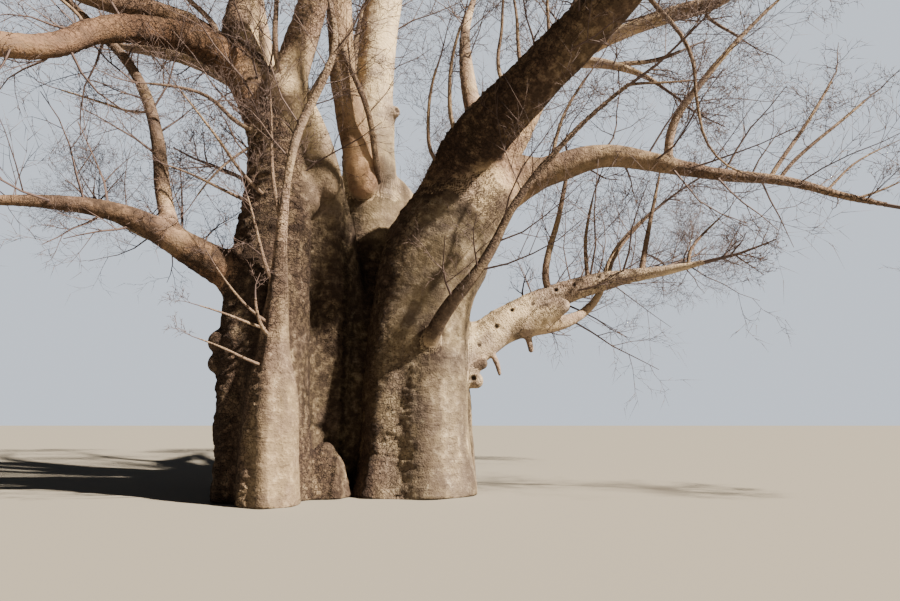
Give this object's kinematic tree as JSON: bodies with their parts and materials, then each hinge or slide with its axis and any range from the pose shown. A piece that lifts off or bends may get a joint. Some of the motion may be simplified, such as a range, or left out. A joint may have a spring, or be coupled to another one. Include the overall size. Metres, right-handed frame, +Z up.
{
  "type": "baobab tree",
  "caption": "Huge bare baobab: a squat trunk of fused stems on a flared foot, thick winding boughs that fork and taper, and open masses of leafless twigs at their tips.",
  "frame": {"origin": "on the ground, in the middle of the flat cut under the trunk", "axes": "+Z up, +X to the right and +Y away from a viewer who stands in front of the trunk"},
  "size_m": [29.4886, 26.2158, 24.8822],
  "materials": {
    "trunk_bark": "folded, pitted bark, matt",
    "bough_bark": "smoother bark with ring wrinkles, matt",
    "twigs": "fine weathered twigs, matt"
  },
  "bodies": {
    "root": {"trunk": "trunk_bark", "left_top_bough": "bough_bark", "left_great_bough": "bough_bark", "left_upper_bough": "bough_bark", "left_top_fork": "bough_bark", "left_low_bough": "bough_bark", "left_low_riser": "bough_bark", "slim_front_limb": "bough_bark", "leaning_bough": "bough_bark", "smooth_bough": "bough_bark", "bulb_bough": "bough_bark", "right_great_bough": "bough_bark", "right_great_fork": "bough_bark", "right_long_bough": "bough_bark", "right_back_bough": "bough_bark", "right_upper_bough": "bough_bark", "right_inner_limb": "bough_bark", "right_long_riser": "bough_bark", "right_slender_limb": "bough_bark", "right_low_bough": "bough_bark", "right_low_fork": "bough_bark", "back_left_bough": "bough_bark", "back_left_fork": "bough_bark", "back_left_low_bough": "bough_bark", "back_right_bough": "bough_bark", "back_right_fork": "bough_bark", "back_right_low_bough": "bough_bark", "back_middle_bough": "bough_bark", "back_far_bough": "bough_bark", "left_top_bough_twigs": "twigs", "left_great_bough_twigs": "twigs", "left_upper_bough_twigs": "twigs", "left_top_fork_twigs": "twigs", "left_low_bough_twigs": "twigs", "left_low_riser_twigs": "twigs", "slim_front_limb_twigs": "twigs", "leaning_bough_twigs": "twigs", "smooth_bough_twigs": "twigs", "bulb_bough_twigs": "twigs", "right_great_bough_twigs": "twigs", "right_great_fork_twigs": "twigs", "right_long_bough_twigs": "twigs", "right_back_bough_twigs": "twigs", "right_upper_bough_twigs": "twigs", "right_inner_limb_twigs": "twigs", "right_long_riser_twigs": "twigs", "right_slender_limb_twigs": "twigs", "right_low_bough_twigs": "twigs", "right_low_fork_twigs": "twigs", "back_left_bough_twigs": "twigs", "back_left_fork_twigs": "twigs", "back_left_low_bough_twigs": "twigs", "back_right_bough_twigs": "twigs", "back_right_fork_twigs": "twigs", "back_right_low_bough_twigs": "twigs", "back_middle_bough_twigs": "twigs", "back_far_bough_twigs": "twigs", "left_sprouts": "twigs"}
  },
  "joints": []
}
